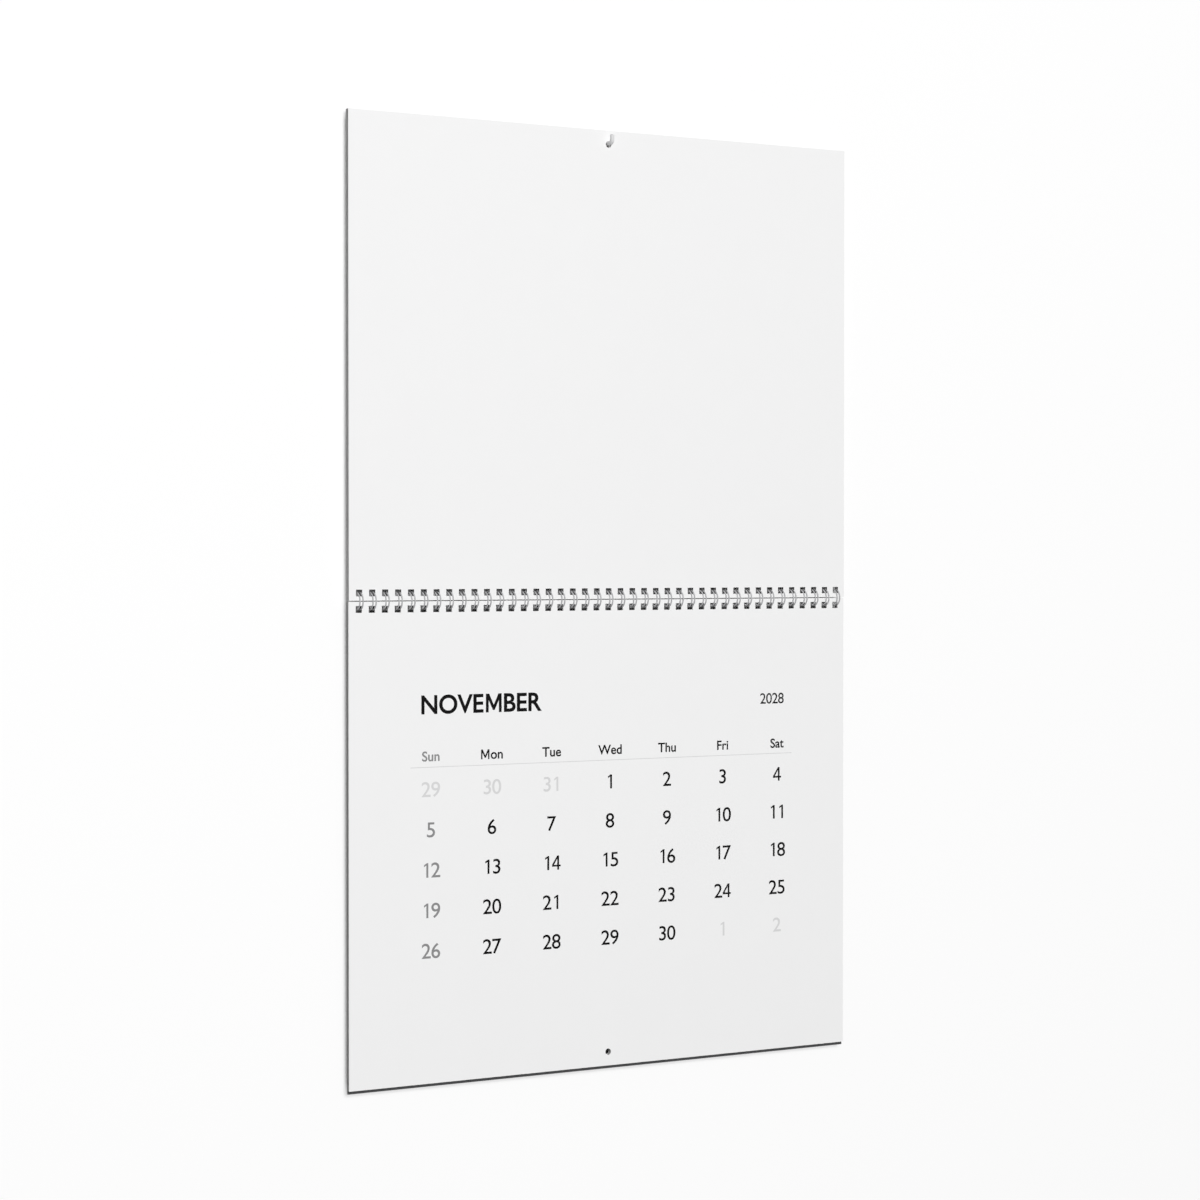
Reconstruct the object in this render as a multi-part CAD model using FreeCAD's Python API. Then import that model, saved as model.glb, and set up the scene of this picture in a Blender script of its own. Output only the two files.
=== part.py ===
import FreeCAD, Part
import math
import os

# Wall calendar, hung open: two halves of leaves joined by a row of twin wire loops.
# Millimetres. X runs along the wall to the right, Y into the wall, Z up.
# The origin is on the wall, on the axis of the hook that carries the calendar.

# Leaves
leaf_w = 352.0            # width of every leaf
leaf_h = 291.0            # height of every leaf
leaf_t = 0.4              # one leaf of heavy card
turned_leaves = 8         # months gone by, turned up over the binding
coming_leaves = 3         # months still to come
board_t = 1.4             # grey board at the back
board_drop = 2.0          # the board is this much longer than the leaves
leaf_air = 0.05           # air between pieces that turn one after the other
half_gap = 0.6            # open strip between the two halves at the binding
lower_set_back = 0.5      # the lower half's face lies this far behind the upper one's

# Wire binding
hole_pitch = 25.4 / 3     # three punched holes to the inch
row_margin = 6.0          # least distance from a leaf's side to the middle of its first hole
wire_t = 0.84             # thickness of the square-drawn wire
strand_gap = 2.05         # middle to middle of a loop's two strands
side_play = 0.555         # from a strand to the side of its hole
hole_h = 4.1              # height of a punched hole
ring_r = 5.5              # from the ring's middle to the corners of the wire's path
ring_sides = 8            # straight stretches in one strand
ring_forward = 0.3        # the ring's middle lies this far in front of the upper half's middle
row_set_in = 0.46         # the holes' middle lies this far inside the ring
seam_angle = 10.0         # half of the opening in the ring at the back, in degrees
seam_turn = 7.0           # the opening's middle is this far above straight back, in degrees
wire_to_wall = 0.15       # from the back of the loops to the wall

# Hook and hanging hole
rod_r = 1.3               # bare rod of the hook
rod_reach = 4.5           # from the upper half's face to the middle of the upturned end
rod_bend_r = 2.0          # bend of the rod, at its middle line
rod_rise = 5.4            # from the rod's axis to the top of its upturned end
tip_taper = 0.5           # the end's edge is taken off by this much
shank_r = 1.0             # thinner shank inside the wall
shank_l = 12.0            # length of that shank
rod_play = 0.05           # the hole's top edge rests on the rod with this clearance
hang_play = 0.7           # the hanging hole's radius is this much more than the rod's
hang_edge = 8.6           # from a leaf's outer edge to the middle of its hanging hole

# Places worked out from the sizes above
hang_hole_r = rod_r + hang_play
hang_rise = hang_hole_r - rod_r - rod_play
upper_t = leaf_t * (turned_leaves + 1)
ring_depth = upper_t / 2 - ring_forward
face_y = -(wire_to_wall + wire_t / 2 + ring_r + ring_depth)
gap_z = -(half_gap / 2 + leaf_h - hang_edge + hang_rise)
ring_y = face_y + ring_depth
hole_w = strand_gap + wire_t + 2 * side_play
hole_count = int((leaf_w - 2 * row_margin) / hole_pitch) + 1
flat_r = ring_r * math.cos(math.radians((180 - seam_angle) / ring_sides))
row_from_gap = (ring_r + flat_r) / 2 - row_set_in
month_y = face_y + lower_set_back
coming_y = month_y + leaf_t + leaf_air
board_y = coming_y + leaf_t * coming_leaves + leaf_air


def vec(x, y, z):
    return FreeCAD.Vector(x, y, z)


def box(x0, y0, z0, x1, y1, z1):
    """A block between two opposite corners."""
    return Part.makeBox(x1 - x0, y1 - y0, z1 - z0, vec(x0, y0, z0))


def hole_xs():
    """The middles of the punched holes, in a row centred on the leaf."""
    first = -hole_pitch * (hole_count - 1) / 2
    return [first + hole_pitch * i for i in range(hole_count)]


def punched_row(y, t, side):
    """The row of cutters for one thickness of leaves: side is 1 above the binding and -1 below it."""
    mid_z = gap_z + side * row_from_gap
    z0 = mid_z - hole_h / 2
    z1 = mid_z + hole_h / 2
    return [box(x - hole_w / 2, y, z0, x + hole_w / 2, y + t, z1) for x in hole_xs()]


def hanging_hole(y, t, side):
    """The round hole in the middle of a leaf's outer edge."""
    z = gap_z + side * (half_gap / 2 + leaf_h - hang_edge)
    return Part.makeCylinder(hang_hole_r, t, vec(0, y, z), vec(0, 1, 0))


def leaves(y, t, side, extra=0.0):
    """A slab of leaves from the binding outwards, punched for the wire and for the hook."""
    near = gap_z + side * half_gap / 2
    far = near + side * (leaf_h + extra)
    slab = box(-leaf_w / 2, y, min(near, far), leaf_w / 2, y + t, max(near, far))
    return slab.cut(punched_row(y, t, side) + [hanging_hole(y, t, side)])


def turned_sheets():
    """The months gone by, turned up in front of the cover; the page on show is the last one's back."""
    return leaves(face_y, leaf_t * turned_leaves, 1)


def front_cover():
    """The cover, turned up first, so it lies nearest the wall."""
    return leaves(face_y + leaf_t * turned_leaves, leaf_t, 1)


def month_sheet():
    """The current month's leaf, in front of the lower half."""
    return leaves(month_y, leaf_t, -1)


def coming_sheets():
    """The leaves of the months to come, behind the current one."""
    return leaves(coming_y, leaf_t * coming_leaves, -1)


def back_board():
    """The stiff grey board, which hangs a little lower than the leaves."""
    return leaves(board_y, board_t, -1, board_drop)


def ring_point(turn, r):
    """A point on the ring: turn is in degrees from the wall side, over the top and down the front."""
    a = math.radians(turn)
    return ring_y + r * math.cos(a), gap_z + r * math.sin(a)


def ring_turns():
    """The corners of a strand's path, from one side of the seam round to the other."""
    step = (360 - 2 * seam_angle) / ring_sides
    return [seam_turn + seam_angle + step * i for i in range(ring_sides + 1)]


def strand_edges():
    """The corners of a strand's outer and inner edges; its straight stretches are as thick as the wire."""
    turns = ring_turns()
    half = wire_t / 2 / math.cos(math.radians(turns[1] - turns[0]) / 2)
    outer = [ring_point(t, ring_r + half) for t in turns]
    inner = [ring_point(t, ring_r - half) for t in turns]
    return outer, inner


def prism(points, x0, x1):
    """A closed outline in the plane across the wire row, drawn out along X."""
    corners = [vec(x0, y, z) for y, z in points]
    face = Part.Face(Part.makePolygon(corners + corners[:1]))
    return face.extrude(vec(x1 - x0, 0, 0))


def strand(x):
    """One strand: the ring's open outline, as wide as the wire."""
    outer, inner = strand_edges()
    return prism(outer + inner[::-1], x - wire_t / 2, x + wire_t / 2)


def part_way(start, end, share):
    """The point a share of the way from one corner to the next."""
    return tuple(a + (b - a) * share for a, b in zip(start, end))


def seam_bar(last, before, x0, x1):
    """A cross piece at the seam: the strand's end, from its last corner towards the one before, drawn out."""
    outer, inner = strand_edges()
    share = wire_t / math.dist(outer[last], outer[before])
    outline = [
        outer[last],
        part_way(outer[last], outer[before], share),
        part_way(inner[last], inner[before], share),
        inner[last],
    ]
    return prism(outline, x0, x1)


def wire_binding():
    """One length of wire bent to twin loops: each loop closes in a tip, and roots link loop to loop."""
    half_loop = strand_gap / 2
    xs = hole_xs()
    pieces = []
    for x in xs:
        pieces.append(strand(x - half_loop))
        pieces.append(strand(x + half_loop))
        pieces.append(seam_bar(-1, -2, x - half_loop, x + half_loop))
    for x, following in zip(xs, xs[1:]):
        pieces.append(seam_bar(0, 1, x + half_loop, following - half_loop))
    return pieces[0].multiFuse(pieces[1:]).removeSplitter()


def wall_hook():
    """A rod out of the wall through the hanging hole, turned up in front of the leaves."""
    upright_y = face_y - rod_reach
    bend_y = upright_y + rod_bend_r
    along = vec(0, 1, 0)
    up = vec(0, 0, 1)
    shank = Part.makeCylinder(shank_r, shank_l, vec(0, 0, 0), along)
    rod = Part.makeCylinder(rod_r, -bend_y, vec(0, bend_y, 0), along)
    section = Part.Face(Part.Wire(Part.makeCircle(rod_r, vec(0, bend_y, 0), along)))
    bend = section.revolve(vec(0, bend_y, rod_bend_r), vec(-1, 0, 0), 90)
    upright_h = rod_rise - rod_bend_r - tip_taper
    upright = Part.makeCylinder(rod_r, upright_h, vec(0, upright_y, rod_bend_r), up)
    tip_z = rod_bend_r + upright_h
    tip = Part.makeCone(rod_r, rod_r - tip_taper, tip_taper, vec(0, upright_y, tip_z), up)
    return shank.multiFuse([rod, bend, upright, tip]).removeSplitter()


def export(name, shape):
    shape.exportStep("parts/" + name + ".step")


os.makedirs("parts", exist_ok=True)
export("turned_sheets", turned_sheets())
export("front_cover", front_cover())
export("month_sheet", month_sheet())
export("coming_sheets", coming_sheets())
export("back_board", back_board())
export("wire_binding", wire_binding())
export("wall_hook", wall_hook())
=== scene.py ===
import math

import bmesh
import bpy
import numpy as np
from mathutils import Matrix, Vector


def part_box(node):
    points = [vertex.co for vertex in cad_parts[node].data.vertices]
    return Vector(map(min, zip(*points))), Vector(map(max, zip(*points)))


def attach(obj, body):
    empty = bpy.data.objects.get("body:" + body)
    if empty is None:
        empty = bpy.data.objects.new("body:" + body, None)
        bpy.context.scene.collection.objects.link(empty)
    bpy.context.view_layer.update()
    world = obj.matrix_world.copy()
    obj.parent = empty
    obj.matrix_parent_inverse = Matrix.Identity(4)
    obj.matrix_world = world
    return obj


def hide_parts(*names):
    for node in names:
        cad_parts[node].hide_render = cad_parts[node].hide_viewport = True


# A wall calendar that hangs open on a hook, with two halves of leaves on a row of twin wire loops.
# Metres, in the frame of the solid parts: X along the wall, Y into the wall, Z up.

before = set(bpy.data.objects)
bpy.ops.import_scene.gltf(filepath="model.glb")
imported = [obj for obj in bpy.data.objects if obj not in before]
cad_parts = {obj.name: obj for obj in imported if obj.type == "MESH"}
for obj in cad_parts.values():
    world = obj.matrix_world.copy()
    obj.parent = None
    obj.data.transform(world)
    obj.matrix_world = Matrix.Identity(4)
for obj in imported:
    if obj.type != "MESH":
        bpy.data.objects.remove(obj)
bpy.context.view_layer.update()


# Leaves already turned: eight leaves of heavy coated card, turned up over the wire one by one.
# Each is cut to size and punched on its own, so their edges never line up quite exactly.
# The page on show is the blank back of the last one.
mm = 0.001
upper_low, upper_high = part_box("turned_sheets")
lower_low, lower_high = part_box("month_sheet")
page_w = upper_high.x - upper_low.x
page_h = upper_high.z - upper_low.z
gap_z = (upper_low.z + lower_high.z) / 2
half_gap = upper_low.z - gap_z
turned_count = 8
leaf_step = (upper_high.y - upper_low.y) / turned_count
leaf_air = 0.012 * mm

hole_pitch = 25.4 / 3 * mm
hole_count = 41
hole_w = 4.0 * mm
hole_near, hole_far = 2.80 * mm, 6.90 * mm
hanging_r = 2.0 * mm
hanging_edge = 8.6 * mm
hole_middles = hole_pitch * (np.arange(hole_count) - (hole_count - 1) / 2)
square_half = hole_pitch - hole_w / 2
plain_rows = 7
slack = 0.001 * mm
sideways_play = 0.13 * mm
upward_play = 0.09 * mm
downward_play = 0.02 * mm
chance = np.random.default_rng(14)

page_white = (0.860, 0.860, 0.860, 1)
page_white_low = (0.848, 0.848, 0.849, 1)
# The leaves' cut edges are partly the card's duller core and partly painted shade for the gaps between
# stacked leaves.
cut_edge_with_painted_shade = (0.52, 0.52, 0.515, 1)
cut_edge_with_painted_shade_low = (0.40, 0.40, 0.395, 1)
# Painted shade: the near black of the punched holes' walls.
hole_wall_painted_shade = (0.015, 0.015, 0.015, 1)
mottle_per_m = 60.0
fibre_per_m = 2400.0
streak_per_m = 900.0
streak_squeeze = (1, 12, 1)
cockle_per_m = 16.0
cockle_depth = 0.05 * mm
sheet_shine = 0.35
page_roughness = (0.55, 0.72)
page_tooth = 0.006 * mm


def new_piece(name, points, faces, smooth=False):
    """A mesh object at the origin, from an array of points and an array of faces."""
    mesh = bpy.data.meshes.new(name)
    mesh.from_pydata(points.tolist(), [], [f.tolist() for f in faces])
    mesh.polygons.foreach_set("use_smooth", [smooth] * len(mesh.polygons))
    mesh.update()
    piece = bpy.data.objects.new(name, mesh)
    bpy.context.scene.collection.objects.link(piece)
    return piece


def loose_points_off(piece):
    """Takes away the points that no face uses."""
    build = bmesh.new()
    build.from_mesh(piece.data)
    bmesh.ops.delete(build, geom=[v for v in build.verts if not v.link_faces], context="VERTS")
    build.to_mesh(piece.data)
    build.free()


def lines_across():
    """The places along a leaf's width where its grid has lines: both sides of every punched hole, the
    leaf's ends, and a few lines more round the hanging hole, which is in line with the middle hole."""
    near = np.array([-hole_pitch / 2, -hole_w / 4, 0, hole_w / 4, hole_pitch / 2])
    edges = np.concatenate([hole_middles - hole_w / 2, hole_middles + hole_w / 2])
    return np.sort(np.concatenate([edges, near, [-page_w / 2, page_w / 2]]))


def leaf_face(front_y, side, shift):
    """One leaf's front face as a grid over its width and its height, z = gap + side * distance.
    Cells inside the punched holes are left out. A square of cells round the hanging hole is
    replaced by a fan of four-sided faces from the square to the hole's circle."""
    xs = lines_across()
    hanging = half_gap + page_h - hanging_edge
    square = xs[np.abs(xs) < square_half + slack]
    plain = np.linspace(hole_far, hanging - square_half, plain_rows + 2)[1:-1]
    ds = np.concatenate([[half_gap, hole_near, hole_far], plain, hanging + square, [half_gap + page_h]])
    grid_x, grid_d = np.meshgrid(xs, ds)
    mid_x = (xs[1:] + xs[:-1]) / 2
    mid_d = (ds[1:] + ds[:-1]) / 2
    to_hole = np.abs(mid_x - hole_pitch * np.round(mid_x / hole_pitch))
    in_hole_x = (to_hole < hole_w / 2) & (np.abs(mid_x) < hole_pitch * hole_count / 2)
    in_hole_d = (mid_d > hole_near) & (mid_d < hole_far)
    in_square = np.outer(np.abs(mid_d - hanging) < square_half, np.abs(mid_x) < square_half)
    keep = ~(np.outer(in_hole_d, in_hole_x) | in_square)
    number = np.arange(grid_x.size).reshape(grid_x.shape)
    cells = np.stack([number[:-1, :-1], number[:-1, 1:], number[1:, 1:], number[1:, :-1]], -1)[keep]

    rows = np.where(np.abs(ds - hanging) < square_half + slack)[0]
    columns = np.where(np.abs(xs) < square_half + slack)[0]
    block = number[np.ix_(rows, columns)]
    rim = np.concatenate([block[0, :-1], block[:-1, -1], block[-1, :0:-1], block[:0:-1, 0]])
    turn = math.radians(-135) + 2 * math.pi * np.arange(len(rim)) / len(rim)
    circle = grid_x.size + np.arange(len(rim))
    fan = np.stack([rim, np.roll(rim, -1), np.roll(circle, -1), circle], -1)

    x = np.concatenate([grid_x.ravel(), hanging_r * np.cos(turn)]) + shift[0]
    d = np.concatenate([grid_d.ravel(), hanging + hanging_r * np.sin(turn)])
    z = gap_z + side * d + shift[1]
    faces = np.concatenate([cells, fan])
    points = np.stack([x, np.full(x.shape, front_y), z], -1)
    return points, faces if side > 0 else faces[:, ::-1]


def new_leaf(name, front_y, thickness, side, shift, material):
    """A leaf: its front face, given its thickness towards the wall."""
    points, faces = leaf_face(front_y, side, shift)
    leaf = new_piece(name, points, faces)
    loose_points_off(leaf)
    body = leaf.modifiers.new("thickness", "SOLIDIFY")
    body.thickness = thickness
    body.offset = -1
    leaf.data.materials.append(material)
    return leaf


def add_node(tree, kind, **settings):
    """A shader node, with its settings, and its inputs given by name with spaces as underscores."""
    node = tree.nodes.new(kind)
    for key, value in settings.items():
        socket = key.replace("_", " ")
        if socket in node.inputs:
            node.inputs[socket].default_value = value
        else:
            setattr(node, key, value)
    return node


def feed(tree, value, socket):
    """Gives a socket another node's output, or a plain number or colour."""
    if isinstance(value, bpy.types.NodeSocket):
        tree.links.new(value, socket)
    else:
        socket.default_value = value


def finish_of(name, **even):
    """A new material with nothing but its output and its surface shader, and what is even all over it."""
    material = bpy.data.materials.new(name)
    material.use_nodes = True
    tree = material.node_tree
    tree.nodes.clear()
    out = add_node(tree, "ShaderNodeOutputMaterial")
    skin = add_node(tree, "ShaderNodeBsdfPrincipled", **even)
    tree.links.new(skin.outputs[0], out.inputs["Surface"])
    return material, tree, skin


def grain(tree, place, per_metre, detail=3.0):
    """A noise over the piece's own coordinates, of that many features to the metre."""
    noise = add_node(tree, "ShaderNodeTexNoise", Scale=per_metre, Detail=detail)
    tree.links.new(place, noise.inputs["Vector"])
    return noise.outputs["Fac"]


def blend(tree, share, first, second):
    """A colour between two, by a share from 0 to 1."""
    mix = add_node(tree, "ShaderNodeMix", data_type="RGBA")
    tree.links.new(share, mix.inputs["Factor"])
    feed(tree, first, mix.inputs["A"])
    feed(tree, second, mix.inputs["B"])
    return mix.outputs["Result"]


def levels(tree, share, low, high):
    """A share from 0 to 1, spread over another range."""
    spread = add_node(tree, "ShaderNodeMapRange", To_Min=low, To_Max=high)
    tree.links.new(share, spread.inputs["Value"])
    return spread.outputs["Result"]


def relief(tree, height, depth, under=None):
    """A bump of that depth in metres, on top of another."""
    bump = add_node(tree, "ShaderNodeBump", Distance=depth)
    tree.links.new(height, bump.inputs["Height"])
    if under is not None:
        tree.links.new(under, bump.inputs["Normal"])
    return bump.outputs["Normal"]


def worked_out(tree, operation, *values):
    """The outcome of one operation on numbers or on other nodes' outputs."""
    node = add_node(tree, "ShaderNodeMath", operation=operation)
    for value, socket in zip(values, node.inputs):
        feed(tree, value, socket)
    return node.outputs[0]


def cut_edges(tree, coordinates):
    """1 on the sheet's cut edges and 0 on its faces, where the piece's own normal points along Y."""
    normal = add_node(tree, "ShaderNodeSeparateXYZ")
    tree.links.new(coordinates.outputs["Normal"], normal.inputs[0])
    return worked_out(tree, "LESS_THAN", worked_out(tree, "ABSOLUTE", normal.outputs["Y"]), 0.5)


def in_punched_rows(tree, place):
    """1 along the two rows of punched holes, from the first hole to the last, otherwise 0."""
    spare = 0.3 * mm
    row_half = hole_pitch * (hole_count - 1) / 2 + hole_w / 2 + spare
    parts = add_node(tree, "ShaderNodeSeparateXYZ")
    tree.links.new(place, parts.inputs[0])
    from_gap = worked_out(tree, "ABSOLUTE", worked_out(tree, "SUBTRACT", parts.outputs["Z"], gap_z))
    along = worked_out(tree, "COMPARE", parts.outputs["X"], 0.0, row_half)
    across = worked_out(tree, "COMPARE", from_gap, (hole_near + hole_far) / 2,
                        (hole_far - hole_near) / 2 + spare)
    return worked_out(tree, "MULTIPLY", along, across)


def sheet_finish(name, face_low, face, edge_tone_low, edge_tone, roughness, tooth):
    """Coated card: a faint mottle and a fine tooth on its faces, and a duller fibrous core at its cut
    edges, streaked along the sheet. On the leaves the edges are darker than the core alone: painted
    shade for the gaps between the stacked leaves. The walls of the punched holes are painted near
    black: painted shade where hardly any light gets in past the wire."""
    material, tree, skin = finish_of(name, Specular_IOR_Level=sheet_shine)
    coordinates = add_node(tree, "ShaderNodeTexCoord")
    place = coordinates.outputs["Object"]
    mottle = grain(tree, place, mottle_per_m)
    fibre = grain(tree, place, fibre_per_m, detail=5.0)
    squeezed = add_node(tree, "ShaderNodeMapping", Scale=streak_squeeze)
    tree.links.new(place, squeezed.inputs["Vector"])
    streak = grain(tree, squeezed.outputs[0], streak_per_m, detail=4.0)
    cockle = grain(tree, place, cockle_per_m, detail=2.0)
    face_colour = blend(tree, mottle, face_low, face)
    edge_tone_colour = blend(tree, streak, edge_tone_low, edge_tone)
    # The punched holes' walls are painted near black, as painted shade.
    edge_colour = blend(tree, in_punched_rows(tree, place), edge_tone_colour, hole_wall_painted_shade)
    colour = blend(tree, cut_edges(tree, coordinates), face_colour, edge_colour)
    tree.links.new(colour, skin.inputs["Base Color"])
    tree.links.new(levels(tree, fibre, *roughness), skin.inputs["Roughness"])
    tree.links.new(relief(tree, fibre, tooth, relief(tree, cockle, cockle_depth)), skin.inputs["Normal"])
    return material


page_finish = sheet_finish("coated_page", page_white_low, page_white, cut_edge_with_painted_shade_low, cut_edge_with_painted_shade,
                           page_roughness, page_tooth)

for number in range(turned_count):
    front = upper_low.y + leaf_step * number
    shift = (0.0, 0.0)
    if number:
        shift = (chance.uniform(-sideways_play, sideways_play), chance.uniform(-downward_play, upward_play))
    leaf = new_leaf(f"turned_leaf_{number + 1}", front, leaf_step - leaf_air, 1, shift, page_finish)
    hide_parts("turned_sheets")
    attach(leaf, "upper_half")


# Front cover: one more leaf, of card with a satin varnish, turned up first.
# It lies nearest the wall, behind the turned leaves.
cover_white = (0.845, 0.845, 0.838, 1)
cover_white_low = (0.828, 0.828, 0.822, 1)
cover_roughness = (0.30, 0.42)
cover_tooth = 0.003 * mm


def dress(node, material):
    """Gives a solid part its finish."""
    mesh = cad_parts[node].data
    mesh.materials.clear()
    mesh.materials.append(material)


cover_finish = sheet_finish("varnished_cover", cover_white_low, cover_white, cut_edge_with_painted_shade_low, cut_edge_with_painted_shade,
                            cover_roughness, cover_tooth)
dress("front_cover", cover_finish)


# Current month's leaf: the same coated card, hanging in front of the lower half.
# It is the leaf that is read, so it carries the dates.
dress("month_sheet", page_finish)


# Leaves of the months to come: three leaves behind the current one, on the same wire.
# They are cut and punched like the others, and only their edges show until the month ends.
coming_low, coming_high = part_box("coming_sheets")
coming_count = 3
coming_step = (coming_high.y - coming_low.y) / coming_count
coming_inset = 0.02 * mm

for number in range(coming_count):
    front = coming_low.y + coming_inset + coming_step * number
    shift = (chance.uniform(-sideways_play, sideways_play), chance.uniform(-upward_play, downward_play))
    thickness = coming_step - coming_inset - leaf_air
    leaf = new_leaf(f"coming_leaf_{number + 1}", front, thickness, -1, shift, page_finish)
    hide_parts("coming_sheets")
    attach(leaf, "lower_half")


# Back board: stiff board, a little longer than the leaves, its faces painted near black: painted shade for
# the strip that shows below the leaves' lower edge.
# It is punched with them, so the same wire holds it. Its cut edges show the pale core.
# Painted shade: the board's near black faces.
board_painted_shade = (0.050, 0.050, 0.051, 1)
board_painted_shade_low = (0.040, 0.040, 0.042, 1)
board_core = (0.62, 0.62, 0.61, 1)
board_core_dull = (0.45, 0.45, 0.44, 1)
board_roughness = (0.70, 0.85)
board_tooth = 0.02 * mm

board_finish = sheet_finish("painted_shade_board", board_painted_shade_low, board_painted_shade, board_core_dull, board_core,
                            board_roughness, board_tooth)
dress("back_board", board_finish)


# Wire binding: one length of coated steel wire, bent to and fro into 41 twin loops.
# The loops are pushed through the punched row from the back and pressed round until their
# tips meet the roots behind the calendar.
wire_r = 0.44 * mm
ring_r = 5.15 * mm
ring_depth = 1.5 * mm
strand_gap = 2.05 * mm
seam_half = math.radians(10.0)
seam_turn = math.radians(7.0)
root_r = 1.2 * mm
wire_sides = 8
strand_points = 26
bend_points = 7

wire_grey = (0.49, 0.49, 0.50, 1)
wire_grey_low = (0.43, 0.43, 0.44, 1)
ring_y = upper_low.y + ring_depth


def arc(centre_s, centre_u, r, start, stop, count):
    """Part of a circle in the unrolled plane, between two angles in degrees, its ends left out."""
    t = np.radians(np.linspace(start, stop, count + 2)[1:-1])
    return np.stack([centre_s + r * np.cos(t), centre_u + r * np.sin(t)], -1)


def loop_line():
    """One loop in the unrolled plane, sideways s against length round the ring u. It goes from the root up
    one strand, round the tip's half circle, and down the other strand, with rounded root corners."""
    half = strand_gap / 2
    tip_u = (2 * math.pi - 2 * seam_half) * ring_r - half - wire_r
    corner_s, corner_u = half + root_r, wire_r + root_r
    rise = np.linspace(corner_u, tip_u, strand_points)
    up = np.stack([np.full(rise.shape, -half), rise], -1)
    tip = arc(0, tip_u, half, 180, 0, 2 * bend_points)
    out_of_root = arc(-corner_s, corner_u, root_r, -90, 0, bend_points)
    into_root = arc(corner_s, corner_u, root_r, 180, 270, bend_points)
    start = np.array([[-corner_s, wire_r]])
    return np.concatenate([start, out_of_root, up, tip, up[::-1] * [-1, 1], into_root, start * [-1, 1]])


def round_bar(middle, r, first, second, sides):
    """A circle carried along a line: the line's point plus r times (first cos t + second sin t), where
    first and second are square to the line and to each other. Both ends are closed."""
    t = 2 * math.pi * np.arange(sides) / sides
    ring = np.cos(t)[None, :, None] * first[:, None] + np.sin(t)[None, :, None] * second[:, None]
    points = (middle[:, None] + r * ring).reshape(-1, 3)
    number = np.arange(len(points)).reshape(-1, sides)
    after = np.roll(number, -1, axis=1)
    walls = np.stack([number[:-1], after[:-1], after[1:], number[1:]], -1).reshape(-1, 4)
    return points, list(walls) + [number[0][::-1], number[-1]]


def wire_surface():
    """The wire: the loops' line laid round a cylinder about the ring's axis, and a circle carried along it.
    Round the ring, an angle of u / r turns a point from the wall side, over the top and down the front.
    Half a root is left off the first loop and half a root off the last."""
    one = loop_line()
    line = (one[None] + np.stack([hole_middles, np.zeros(hole_count)], -1)[:, None]).reshape(-1, 2)
    half_root = bend_points + 1
    line = line[half_root:-half_root]
    turn = seam_turn + seam_half + line[:, 1] / ring_r
    out = np.stack([np.zeros(len(turn)), np.cos(turn), np.sin(turn)], -1)
    middle = np.array([0, ring_y, gap_z]) + ring_r * out
    middle[:, 0] = line[:, 0]
    along = np.gradient(middle, axis=0)
    along /= np.linalg.norm(along, axis=1)[:, None]
    side = np.cross(along, out)
    side /= np.linalg.norm(side, axis=1)[:, None]
    return round_bar(middle, wire_r, np.cross(side, along), side, wire_sides)


def coat_finish(name, colour_low, colour, roughness, shine, waves, specks, depth, detail=3.0):
    """A thin even coat. Its tone and its height change a little in waves, and its gloss in specks, both
    given as a number of features to the metre."""
    material, tree, skin = finish_of(name, Specular_IOR_Level=shine)
    place = add_node(tree, "ShaderNodeTexCoord").outputs["Object"]
    wave = grain(tree, place, waves, detail)
    speck = grain(tree, place, specks, detail)
    tree.links.new(blend(tree, wave, colour_low, colour), skin.inputs["Base Color"])
    tree.links.new(levels(tree, speck, *roughness), skin.inputs["Roughness"])
    tree.links.new(relief(tree, wave, depth), skin.inputs["Normal"])
    return material


# The nylon coating is even, with slight runs and a soft gloss.
nylon_finish = coat_finish("coated_wire", wire_grey_low, wire_grey, roughness=(0.38, 0.52), shine=0.25,
                           waves=700.0, specks=2500.0, depth=0.01 * mm)

points, faces = wire_surface()
wire = new_piece("twin_loop_wire", points, faces, smooth=True)
wire.data.materials.append(nylon_finish)
# The thin wire's shadow is left off, so that the page round it stays evenly white.
wire.visible_shadow = False
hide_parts("wire_binding")
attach(wire, "binding")


# Print: the month, the year, the weekdays and the dates, in a thin film of black and grey ink.
# The current month is on its leaf's front. The next month is on the first leaf behind it.
ink_film = 0.012 * mm
columns_x = -122.2 * mm
column_step = 41.15 * mm
first_row = -118.1 * mm
row_step = 24.37 * mm
date_h = 8.8 * mm
date_stretch = 1.05
weekday_h = 5.7 * mm
weekday_base = -96.6 * mm
heading_h = 10.75 * mm
heading_base = -68.0 * mm
heading_left = -128.5 * mm
year_h = 6.6 * mm
year_right = 129.9 * mm
rule_z = -100.3 * mm
rule_half = 135.8 * mm
rule_h = 0.42 * mm
weekdays = ("Sun", "Mon", "Tue", "Wed", "Thu", "Fri", "Sat")

# Shares of the letters' size.
cap_share = 0.682
figure_step = 0.47
heading_weight = 0.022
weekday_weight = 0.018
date_weight = 0.006
stem_share = 0.076
letter_gap = 0.10


def ink_finish(name, colour_low, colour):
    """Offset ink on coated card: an even tone, a little uneven at the scale of the card's fibres."""
    return coat_finish(name, colour_low, colour, roughness=(0.50, 0.65), shine=0.05,
                       waves=3000.0, specks=3000.0, depth=0.002 * mm, detail=4.0)


ink_black = ink_finish("black_ink", (0.003, 0.003, 0.003, 1), (0.004, 0.004, 0.004, 1))
ink_grey = ink_finish("grey_ink", (0.240, 0.240, 0.242, 1), (0.270, 0.270, 0.272, 1))
ink_pale = ink_finish("pale_ink", (0.650, 0.650, 0.652, 1), (0.680, 0.680, 0.682, 1))


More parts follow.
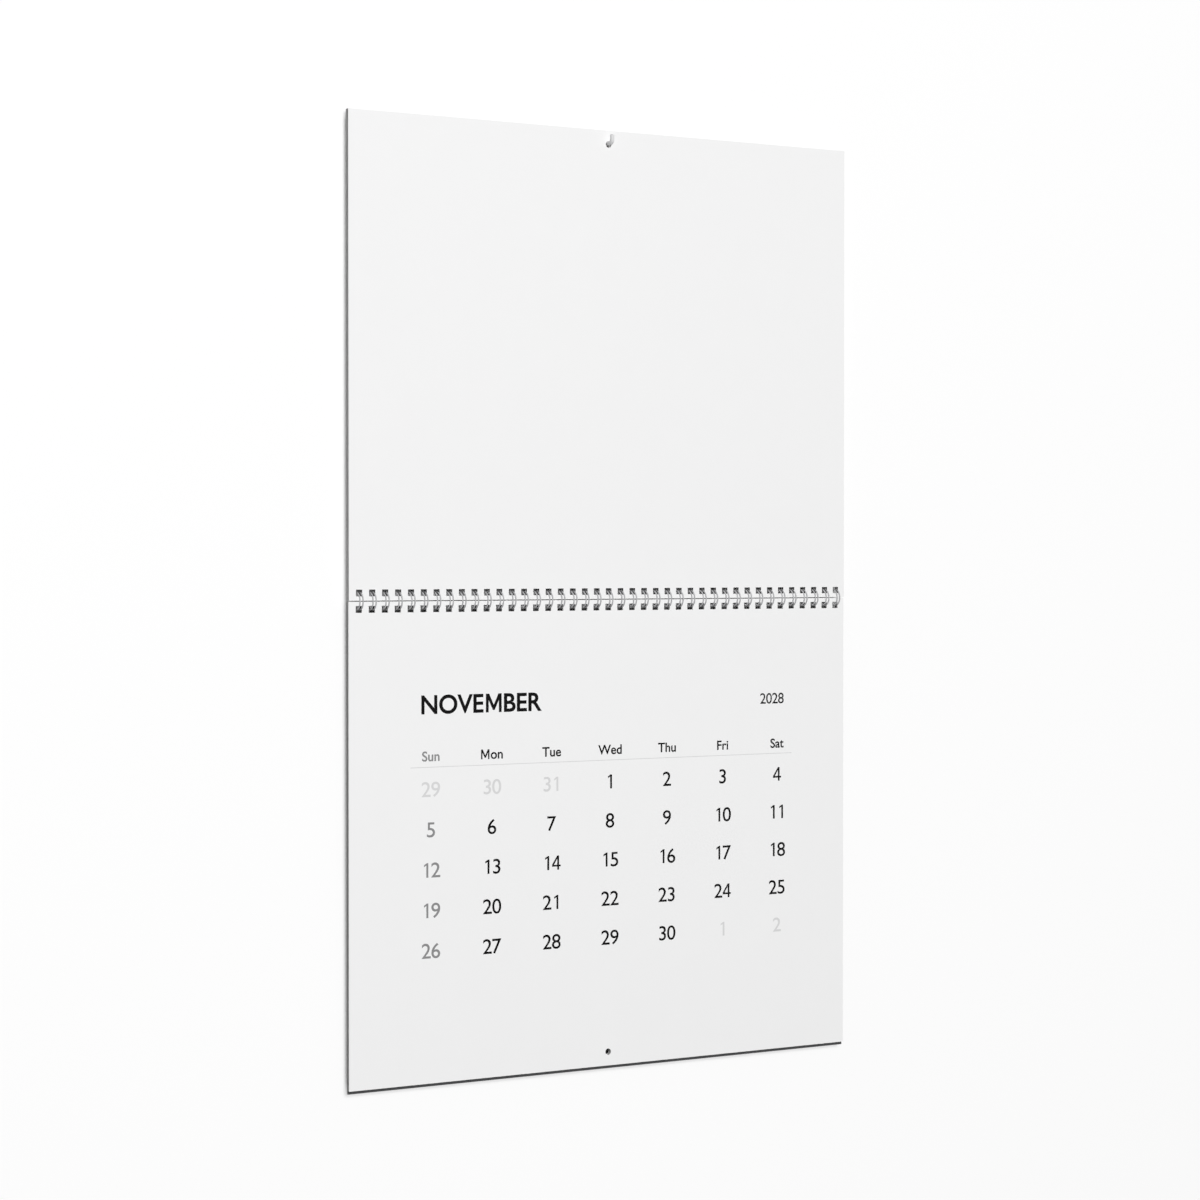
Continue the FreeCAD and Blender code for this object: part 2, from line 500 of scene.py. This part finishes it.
def word_outline(word, weight):
    """The word's filled outline at a size of 1, as points and faces."""
    curve = bpy.data.curves.new("word", "FONT")
    curve.body = word
    curve.offset = weight
    text = bpy.data.objects.new("word", curve)
    bpy.context.scene.collection.objects.link(text)
    shape = text.evaluated_get(bpy.context.evaluated_depsgraph_get())
    mesh = bpy.data.meshes.new_from_object(shape)
    flat = np.zeros(len(mesh.vertices) * 3)
    mesh.vertices.foreach_get("co", flat)
    faces = [np.array(p.vertices) for p in mesh.polygons]
    bpy.data.objects.remove(text)
    bpy.data.meshes.remove(mesh)
    return flat.reshape(-1, 3)[:, :2], faces


def figure_outline(figure, weight):
    """One figure at a size of 1, in the middle of a step's width. The 1 is an upright stem with a short
    flag, down to the left from its top. The 4 is a stem, a bar across it, and a slope from the bar's left
    end to the stem's top. The 9 is the 6, turned by half a turn."""
    if figure == "4":
        points = np.array([[0.265, 0], [0.36, 0], [0.36, 0.155], [0.44, 0.155], [0.44, 0.24], [0.36, 0.24],
                           [0.36, cap_share], [0.265, cap_share], [-0.01, 0.24], [-0.01, 0.155],
                           [0.265, 0.155], [0.09, 0.24], [0.265, 0.24], [0.265, 0.53]])
        faces = [np.array(corners) for corners in (
            (0, 1, 2, 10), (2, 3, 4, 5), (10, 2, 5, 12), (9, 10, 12, 11, 8), (12, 5, 6, 7, 13),
            (8, 11, 13, 7))]
    elif figure == "1":
        points = np.array([[0.15, 0], [0.15, cap_share], [0.08, cap_share], [-0.06, 0.59], [-0.06, 0.50],
                           [0.052, 0.575], [0.052, 0]])
        faces = [np.arange(len(points))]
    else:
        points, faces = word_outline("6" if figure == "9" else figure, weight)
        if figure == "9":
            points = [0, cap_share] - points
    middle = (points[:, 0].min() + points[:, 0].max()) / 2
    return points + [figure_step / 2 - middle, 0], faces


def heavy_m(weight):
    """An M at a size of 1, of that much added weight: two stems, and between them a V with a flat tip. The
    left half's outline is followed by its mirror image about the V's middle."""
    stem = stem_share + 2 * weight
    low, high = -weight, cap_share + weight
    middle, tip, tip_half = 0.34, 0.07, 0.04
    half = np.array([[middle, tip + 1.67 * stem], [stem + 0.02, high], [0, high], [0, low], [stem, low],
                     [stem, high - 2.1 * stem], [middle - tip_half, tip]])
    points = np.concatenate([half, half[:0:-1] * [-1, 1] + [2 * middle, 0]])
    return points, [np.arange(len(points))]


def join_outlines(outlines):
    """Several outlines as one."""
    starts = np.cumsum([0] + [len(points) for points, _ in outlines])
    faces = [f + start for start, (_, group) in zip(starts, outlines) for f in group]
    return np.concatenate([points for points, _ in outlines]), faces


def heavy_outline(word, weight):
    """A word in heavier letters, with its Ms drawn on their own."""
    pieces, x = [], 0.0
    for place, part in enumerate(word.split("M")):
        letters = [word_outline(part, weight)] if part else []
        for points, faces in [heavy_m(weight)] * (place > 0) + letters:
            pieces.append((points + [x - points[:, 0].min(), 0], faces))
            x += np.ptp(points[:, 0]) + letter_gap
    return join_outlines(pieces)


def place_word(word, x, base, height, anchor=0.5, stretch=1.0, weight=0.0):
    """The word on the page: anchor is 0 where x is its left end, 0.5 its middle and 1 its right end.
    Figures stand on even steps, and their ends are those of the steps."""
    if word.isdigit():
        figures = [figure_outline(figure, weight) for figure in word]
        points, faces = join_outlines([(points + [figure_step * place, 0], faces)
                                       for place, (points, faces) in enumerate(figures)])
        left, width = 0.0, figure_step * len(word)
    else:
        points, faces = heavy_outline(word, weight) if weight else word_outline(word, weight)
        left, width = points[:, 0].min(), np.ptp(points[:, 0])
    scale = height / cap_share
    across = (points[:, 0] - left - anchor * width) * scale * stretch
    return np.stack([x + across, base + points[:, 1] * scale], -1), faces


def print_film(name, words, page_y, ink, body):
    """Puts the words on a page as one film of ink, facing away from the wall."""
    flat, faces = join_outlines(words)
    points = np.stack([flat[:, 0], np.full(len(flat), page_y), gap_z + flat[:, 1]], -1)
    film = new_piece(name, points, faces)
    loose_points_off(film)
    thick = film.modifiers.new("thickness", "SOLIDIFY")
    thick.thickness = ink_film
    thick.offset = 1
    film.data.materials.append(ink)
    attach(film, body)


def rule_line():
    """The hairline under the weekdays, as one long cell."""
    x = np.array([-rule_half, rule_half, rule_half, -rule_half])
    z = rule_z + np.array([-0.5, -0.5, 0.5, 0.5]) * rule_h
    return np.stack([x, z], -1), [np.arange(4)]


def print_month(label, month, year, first, days, days_before, page_y, body):
    """A month's page. first is the column of the first day, from 0. The rest of the first and last
    rows is filled with the days of the months on both sides, in pale ink."""
    week = len(weekdays)
    groups = {"dates": [], "sundays": [], "others": []}
    for cell in range(math.ceil((first + days) / week) * week):
        column, row = cell % week, cell // week
        day = cell - first + 1
        shown, group = day, "sundays" if column == 0 else "dates"
        if day < 1:
            shown, group = day + days_before, "others"
        elif day > days:
            shown, group = day - days, "others"
        word = place_word(str(shown), columns_x + column * column_step, first_row - row * row_step,
                          date_h, stretch=date_stretch, weight=date_weight)
        groups[group].append(word)
    for column, weekday in enumerate(weekdays):
        word = place_word(weekday, columns_x + column * column_step, weekday_base, weekday_h,
                          weight=weekday_weight)
        groups["sundays" if column == 0 else "dates"].append(word)
    groups["dates"].append(place_word(month, heading_left, heading_base, heading_h, anchor=0.0,
                                      weight=heading_weight))
    groups["dates"].append(place_word(year, year_right, heading_base, year_h, anchor=1.0,
                                      weight=date_weight))
    groups["others"].append(rule_line())
    for group, ink in (("dates", ink_black), ("sundays", ink_grey), ("others", ink_pale)):
        print_film(f"{label}_{group}", groups[group], page_y, ink, body)


print_month("month_print", "NOVEMBER", "2028", first=3, days=30, days_before=31,
            page_y=lower_low.y, body="month")
print_month("next_print", "DECEMBER", "2028", first=5, days=31, days_before=30,
            page_y=coming_low.y + coming_inset, body="lower_half")


# Wall hook: a steel rod with a thinner shank in the wall, turned up in front of the leaves so
# that the hanging hole can't slip off. It is enamelled white, and its tip is rounded.
hook_low, hook_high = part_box("wall_hook")
rod_r = 1.3 * mm
shank_r = 1.0 * mm
rod_rise = 5.4 * mm
rod_bend_r = 2.0 * mm
rod_shoulder = 0.25 * mm
rod_sides = 32
shank_point_r = 0.86 * mm
shank_point_l = 0.2 * mm
bend_rings = 14
tip_rings = 8
enamel_white = (0.72, 0.72, 0.725, 1)
enamel_white_low = (0.68, 0.68, 0.685, 1)


def hook_line():
    """The hook's middle line in Y and Z with its radius: the shank, the shoulder, the rod out of the wall,
    a quarter turn upwards, and the upright, whose tip is a half ball."""
    upright_y = hook_low.y + rod_r
    bend_y = upright_y + rod_bend_r
    turn = np.linspace(0, math.pi / 2, bend_rings)
    ball = np.linspace(0, math.pi / 2, tip_rings, endpoint=False)
    top = rod_rise - rod_r
    straight = np.array([
        [hook_high.y, 0, shank_point_r],
        [hook_high.y - shank_point_l, 0, shank_r],
        [rod_shoulder, 0, shank_r],
        [rod_shoulder / 2, 0, rod_r - rod_shoulder / 2],
        [0, 0, rod_r],
        [bend_y / 2, 0, rod_r],
    ])
    bend = np.stack([bend_y - rod_bend_r * np.sin(turn), rod_bend_r * (1 - np.cos(turn)),
                     np.full(turn.shape, rod_r)], -1)
    tip = np.stack([np.full(ball.shape, upright_y), top + rod_r * np.sin(ball), rod_r * np.cos(ball)], -1)
    return np.concatenate([straight, bend, tip])


def hook_surface():
    """A circle of changing radius carried along the hook's line, square to it, closed at both ends. The
    line turns from level to upright by the angle whose cosine is 1 less its rise over the bend's radius."""
    line = hook_line()
    still = np.zeros(len(line))
    angle = np.arccos(np.clip(1 - line[:, 1] / rod_bend_r, 0, 1))
    across = np.stack([still, np.sin(angle), np.cos(angle)], -1)
    middle = np.stack([still, line[:, 0], line[:, 1]], -1)
    return round_bar(middle, line[:, 2][:, None, None], np.array([[1.0, 0, 0]]), across, rod_sides)


# The enamel is smooth, with a satin gloss and a faint orange peel.
enamel_finish = coat_finish("white_enamel", enamel_white_low, enamel_white, roughness=(0.45, 0.55),
                            shine=0.1, waves=900.0, specks=900.0, depth=0.01 * mm)

points, faces = hook_surface()
hook = new_piece("enamelled_hook", points, faces, smooth=True)
hook.data.materials.append(enamel_finish)
# The hook's shadow is left off the page too.
hook.visible_shadow = False
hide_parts("wall_hook")
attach(hook, "upper_half")


# Wall and floor of the studio, both plain and pale. They aren't part of the calendar.
# The wall is seen from its front only, so the calendar's back can be looked at through it.
# Close behind the calendar, where hardly any light gets in, its paint and glow are painted dark: painted
# shade.
wall_gap = 0.3 * mm
studio_reach = 3.0
floor_z = -1.25
glow_share = 0.55
shade_reach = 12 * mm
dark_at = 0.28
clear_at = 0.46
paint_white = (0.97, 0.97, 0.97, 1)
glow_white = (1, 1, 1, 1)
painted_shade_black = (0, 0, 0, 1)


def mixed(tree, share, first, second):
    """Two surfaces mixed by a share from 0 to 1."""
    mix = add_node(tree, "ShaderNodeMixShader")
    for output, socket in zip((share, first, second), mix.inputs):
        tree.links.new(output, socket)
    return mix.outputs[0]


def in_sight(tree, rays):
    """1 for what the camera, a reflection or a clear material sees, and 0 for light between surfaces."""
    shown = worked_out(tree, "MAXIMUM", rays.outputs["Is Camera Ray"], rays.outputs["Is Glossy Ray"])
    return worked_out(tree, "MAXIMUM", shown, rays.outputs["Is Transmission Ray"])


def backdrop_finish():
    """Matt paint, part plain surface, which takes the calendar's shadow, and part even glow, only for the
    camera and for reflections. Both are painted darker, down to black, where most of the open space over
    the paint is covered close by: painted shade, full where the open share is dark_at or less, and none
    from clear_at on. The back is clear, and so is the front to the light that surfaces give each other,
    so the calendar stands in an even surround."""
    material, tree, skin = finish_of("studio_paint", Roughness=0.9, Specular_IOR_Level=0.0)
    open_space = add_node(tree, "ShaderNodeAmbientOcclusion", Distance=shade_reach, samples=8)
    uncovered = add_node(tree, "ShaderNodeMapRange", From_Min=dark_at, From_Max=clear_at)
    tree.links.new(open_space.outputs["AO"], uncovered.inputs["Value"])
    share = uncovered.outputs["Result"]
    # Painted shade: the paint and the glow go to black where the space close by is covered.
    tree.links.new(blend(tree, share, painted_shade_black, paint_white), skin.inputs["Base Color"])
    even = add_node(tree, "ShaderNodeEmission", Strength=1.0)
    tree.links.new(blend(tree, share, painted_shade_black, glow_white), even.inputs["Color"])
    rays = add_node(tree, "ShaderNodeLightPath")
    glow = levels(tree, in_sight(tree, rays), 0.0, glow_share)
    lit = mixed(tree, glow, skin.outputs[0], even.outputs[0])
    behind = add_node(tree, "ShaderNodeNewGeometry").outputs["Backfacing"]
    clear = worked_out(tree, "MAXIMUM", rays.outputs["Is Diffuse Ray"], behind)
    surface = mixed(tree, clear, lit, add_node(tree, "ShaderNodeBsdfTransparent").outputs[0])
    out = next(node for node in tree.nodes if node.type == "OUTPUT_MATERIAL")
    tree.links.new(surface, out.inputs["Surface"])
    return material


studio_paint = backdrop_finish()
left, right, top = -studio_reach, studio_reach, studio_reach
wall_points = np.array([[left, wall_gap, floor_z], [right, wall_gap, floor_z], [right, wall_gap, top],
                        [left, wall_gap, top]])
floor_points = np.array([[left, -studio_reach, floor_z], [right, -studio_reach, floor_z],
                         [right, studio_reach, floor_z], [left, studio_reach, floor_z]])
wall = new_piece("studio_wall", wall_points, np.array([[0, 1, 2, 3]]))
floor = new_piece("studio_floor", floor_points, np.array([[0, 1, 2, 3]]))
wall.data.materials.append(studio_paint)
floor.data.materials.append(studio_paint)
# The wall lets through the light of the lamp behind it.
wall.visible_shadow = False


# Light: one large soft lamp far in front, above and a little left, a weaker one behind for the
# calendar's back, and an even surround. The background that the camera sees is white.
lamp_aim = (0, 0, -0.28)
surround_strength = 0.14


def soft_lamp(name, place, size, power):
    """A square area lamp that faces the calendar's middle: size in metres, power in watts."""
    data = bpy.data.lights.new(name, "AREA")
    data.size = size
    data.energy = power
    lamp = bpy.data.objects.new(name, data)
    bpy.context.scene.collection.objects.link(lamp)
    lamp.location = place
    x, y, z = np.array(lamp_aim) - np.array(place)
    lamp.rotation_euler = (math.pi / 2 + math.atan2(z, math.hypot(x, y)), 0, math.atan2(-x, y))


soft_lamp("front_lamp", (-0.7, -5.0, 1.15), size=2.6, power=267.0)
soft_lamp("back_lamp", (1.0, 1.6, 1.9), size=1.2, power=60.0)

world = bpy.data.worlds.new("studio")
world.use_nodes = True
bpy.context.scene.world = world
tree = world.node_tree
tree.nodes.clear()
out = add_node(tree, "ShaderNodeOutputWorld")
surround = add_node(tree, "ShaderNodeBackground", Color=glow_white, Strength=surround_strength)
white = add_node(tree, "ShaderNodeBackground", Color=glow_white, Strength=1.0)
shown = in_sight(tree, add_node(tree, "ShaderNodeLightPath"))
tree.links.new(mixed(tree, shown, surround.outputs[0], white.outputs[0]), out.inputs["Surface"])


# Camera: to the left of the calendar, level with its middle. It looks down by a little less than a degree.
camera_down = 0.840
camera_turned = -28.873

camera_data = bpy.data.cameras.new("camera")
camera_data.lens = 81.933
camera_data.sensor_width = 36.0
camera_data.clip_start = 0.01
camera_data.clip_end = 50.0
camera = bpy.data.objects.new("camera", camera_data)
bpy.context.scene.collection.objects.link(camera)
camera.location = (-0.82642, -1.49514, -0.25885)
camera.rotation_euler = (math.radians(90 - camera_down), 0, math.radians(camera_turned))
bpy.context.scene.camera = camera
bpy.context.scene.view_settings.view_transform = "Standard"
